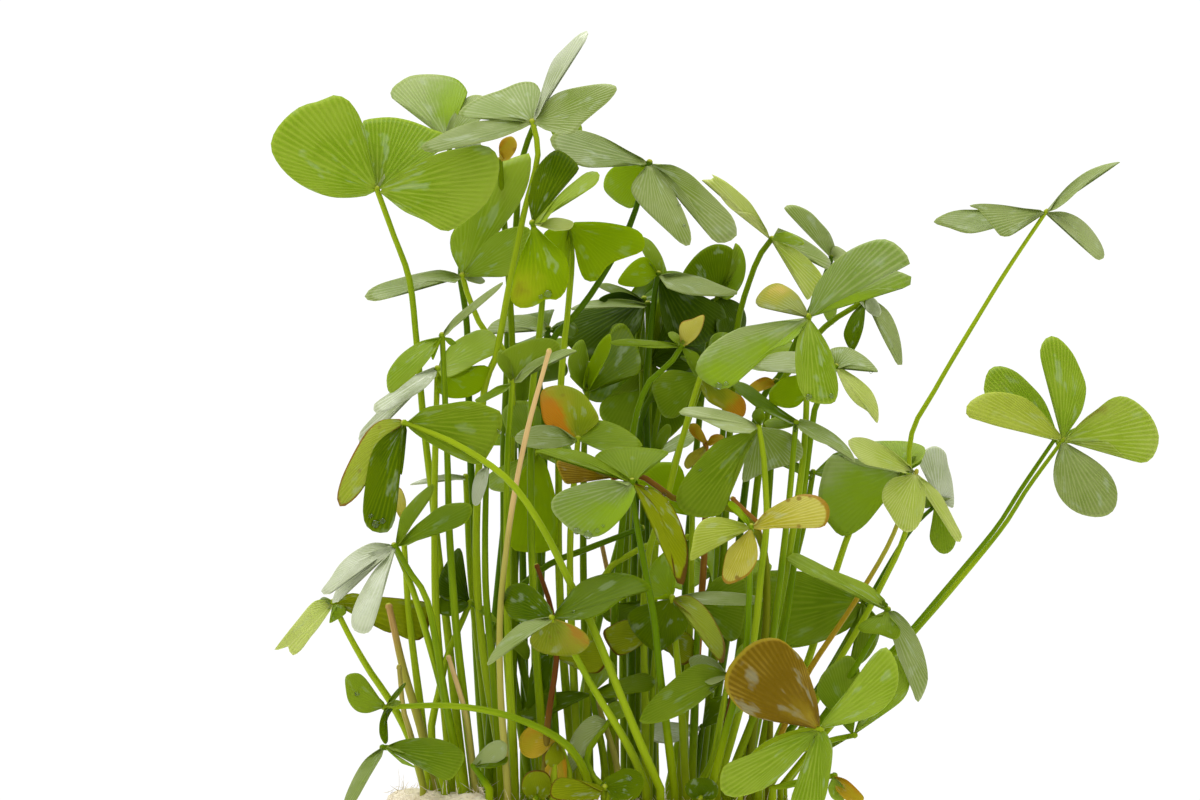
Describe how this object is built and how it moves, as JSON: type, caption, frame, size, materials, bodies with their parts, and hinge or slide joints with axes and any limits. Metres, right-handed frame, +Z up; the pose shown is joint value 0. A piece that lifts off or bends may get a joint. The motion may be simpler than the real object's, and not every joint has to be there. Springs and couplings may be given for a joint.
{
  "type": "water clover",
  "caption": "Water clover: long thin stalks with four-part fan leaves, rising from a round plug of mineral wool that stands on its flat bottom.",
  "frame": {"origin": "middle of the flat bottom of the wool plug", "axes": "+Z up along the stalks, +X to the viewer's right, +Y away from the viewer"},
  "size_m": [0.0882, 0.0643, 0.1159],
  "materials": {
    "leaf_green": "living leaf, smooth and slightly waxy, with fine veins that fan out from its base",
    "leaf_yellow": "ageing leaf, yellow with brown rims",
    "leaf_brown": "dead leaf, wet and brown, with raised veins",
    "dry_stalk": "withered stalk, dry and tan",
    "mineral_wool": "cream mineral wool, matt, with fine matted fibres"
  },
  "bodies": {
    "root": {"wool_plug": "mineral_wool", "frond_crown_left": "leaf_green", "frond_crown_left_back": "leaf_green", "frond_crown_top": "leaf_green", "frond_crown_top_back": "leaf_green", "frond_crown_right": "leaf_green", "frond_right_shoulder": "leaf_green", "frond_inner_left": "leaf_green", "frond_left_high": "leaf_green", "frond_centre_lime": "leaf_green", "frond_inner_dark": "leaf_green", "frond_inner_dark_left": "leaf_green", "frond_back_pair": "leaf_green", "frond_yellow_tip": "leaf_green", "frond_folded": "leaf_green", "frond_right_back": "leaf_green", "frond_right_hanging": "leaf_green", "frond_right_front_large": "leaf_green", "frond_right_mid": "leaf_green", "frond_middle_right": "leaf_green", "frond_middle_right_wet": "leaf_green", "frond_right_big": "leaf_green", "frond_right_light": "leaf_green", "frond_right_outer": "leaf_green", "frond_far_right_tall": "leaf_green", "frond_far_right_low": "leaf_green", "frond_far_right_twin": "leaf_green", "frond_left_front_arch": "leaf_green", "frond_left_upper": "leaf_green", "frond_left_glossy": "leaf_green", "frond_inner_mid": "leaf_green", "frond_inner_arch": "leaf_green", "frond_centre_small": "leaf_green", "frond_big_left_leaf": "leaf_green", "frond_centre_front": "leaf_green", "frond_inner_right": "leaf_green", "frond_left_low": "leaf_green", "frond_far_left_low": "leaf_green", "frond_left_stray": "leaf_green", "frond_left_base": "leaf_green", "frond_centre_low": "leaf_green", "frond_low_dark": "leaf_green", "frond_curled_yellow": "leaf_green", "frond_low_green": "leaf_green", "frond_yellow_frond": "leaf_yellow", "frond_brown_fan": "leaf_brown", "frond_right_low": "leaf_green", "frond_right_edge": "leaf_green", "frond_right_low_fan": "leaf_green", "frond_behind_left": "leaf_green", "frond_behind_middle": "leaf_green", "frond_behind_right": "leaf_green", "frond_behind_low_left": "leaf_green", "frond_behind_low_right": "leaf_green", "frond_behind_far": "leaf_green", "frond_behind_bottom": "leaf_green", "bare_stalk_tall": "dry_stalk", "bare_stalk_left": "dry_stalk", "bare_stalk_brown": "dry_stalk"}
  },
  "joints": []
}
